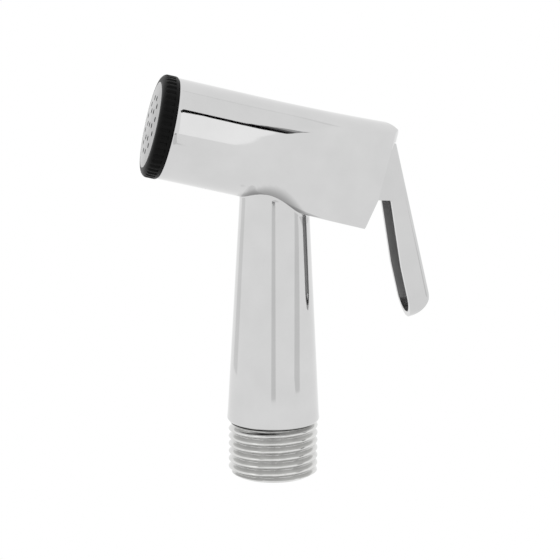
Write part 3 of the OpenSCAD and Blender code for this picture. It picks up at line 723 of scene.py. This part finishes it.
def studio_lamp(name, place, target, size, power):
    lamp = bpy.data.lights.new(name, "AREA")
    lamp.shape, lamp.size, lamp.size_y, lamp.energy = "RECTANGLE", size[0], size[1], power
    holder = bpy.data.objects.new(name, lamp)
    bpy.context.scene.collection.objects.link(holder)
    holder.location = Vector(place)
    holder.rotation_euler = (Vector(target) - Vector(place)).to_track_quat("-Z", "Y").to_euler()
    holder.visible_glossy = False


studio_world()
studio_floor()
studio_lamp("left_softbox", (-0.5, -0.45, 0.5), (0, 0, 0.05), (0.5, 0.5), 2.0)
studio_lamp("right_softbox", (0.5, -0.5, 0.4), (0, 0, 0.05), (0.4, 0.5), 1.2)

# What the chrome shows of the tent close by. The stations of these lines were found by tracing
# the reflection back from where the photograph shows each edge.
SEAM = [(8, -116, 188), (15, -112, 189.5), (28, -105, 191.8), (33.5, -105.9, 189.4),
        (40.9, -105.9, 187.2), (46.5, -105.6, 185.7), (50.5, -103.4, 186.5),
        (54.6, -97.4, 190.4)]
SEAM_END = [(54.6, -97.4, 190.4), (56.7, -94.2, 192.3), (58.9, -90.1, 194.7)]
SEAM_FOLD = [(58.9, -90.1, 194.7), (61, -85.9, 197), (63.7, -82.7, 198.2), (68, -80, 197)]
ROOF = [(19, 27, 231), (31, 27, 227), (41.4, 25.1, 224), (50.7, 23.5, 221.6), (59.2, 26, 218.5),
        (67.2, 25.3, 217), (72.6, 17.2, 217.1), (76, 8, 217)]
SOFTBOX_LOW = [(-8, -160, 62), (6.6, -159.4, 69.4), (15, -159, 70.6), (26, -154, 100),
               (39, -140, 142.8), (50, -120, 172)]
SOFTBOX_HIGH = [(8, -117, 187), (28, -106, 190), (36, -107, 188), (42, -107, 187),
                (48, -106, 185), (54, -99, 189)]
CAMERA_OPENING = [(-36, -154, 63), (-33.6, -154.9, 45), (-31.1, -155.9, 22.7),
                  (-28.6, -156.5, -2.9)]
LENS = [(-36, -152, 66), (-36, -152, 62)]
RIGHT_SEAM = [(143, -66, 60), (137.7, -74.7, 41.4), (129, -89.8, 19.6), (119.4, -102.6, -5.6)]
LEFT_SEAM = [(-116, 100, 66), (-116, 100, 30), (-116, 98, -10)]

studio_card("front_seam", *strip(SEAM, 15, 0.94), 0)
studio_card("front_seam_end", *strip(SEAM_END, 12, 0.94), 0.1)
studio_card("front_seam_fold", *strip(SEAM_FOLD, 10, 0.94), 0.4)
studio_card("roof_seam", *strip(ROOF, 5, 0.97), 0.87)
studio_card("roof_panel", [(a - 1, b - 3, c + 3) for a, b, c in SEAM], ROOF, 0.98)
studio_card("softbox", SOFTBOX_LOW, SOFTBOX_HIGH, 1.18)
studio_card("camera_opening", *strip(CAMERA_OPENING, 30), 0.78)
studio_card("lens", *strip(LENS, 24, 0.97), 0.12)
studio_card("right_seam", *strip(RIGHT_SEAM, 38), 0.78)
studio_card("left_seam", *strip(LEFT_SEAM, 60), 0.84)
studio_card("left_softbox", [(-150, -70, 75), (-150, 10, 75)], [(-130, -70, 240), (-130, 10, 240)],
            1.35)


# ---- camera at the photograph's angle

YAW, PITCH, ROLL = math.radians(11.01), math.radians(9.052), math.radians(0.267)
AIM, DISTANCE = Vector((0, 0, 50)), 387.195
PHOTO_PX, FOCAL_PX, MIDDLE_PX = 560, 1668.974, (273.909, 263.559)

back = Vector((-math.sin(YAW) * math.cos(PITCH), -math.cos(YAW) * math.cos(PITCH),
               math.sin(PITCH)))
right = Vector((math.cos(YAW), -math.sin(YAW), 0))
above = Vector((math.sin(PITCH) * math.sin(YAW), math.sin(PITCH) * math.cos(YAW),
                math.cos(PITCH)))
across = math.cos(ROLL) * right + math.sin(ROLL) * above
upward = -math.sin(ROLL) * right + math.cos(ROLL) * above
lens = bpy.data.cameras.new("camera")
lens.sensor_width = 36
lens.lens = FOCAL_PX / PHOTO_PX * lens.sensor_width
lens.shift_x = (PHOTO_PX / 2 - MIDDLE_PX[0]) / PHOTO_PX
lens.shift_y = (MIDDLE_PX[1] - PHOTO_PX / 2) / PHOTO_PX
lens.clip_start = 0.01
camera = bpy.data.objects.new("camera", lens)
bpy.context.scene.collection.objects.link(camera)
turn = Matrix((across, upward, back)).transposed()
camera.matrix_world = Matrix.Translation((AIM + DISTANCE * back) * MM) @ turn.to_4x4()
bpy.context.scene.camera = camera
bpy.context.scene.view_settings.view_transform = "Standard"
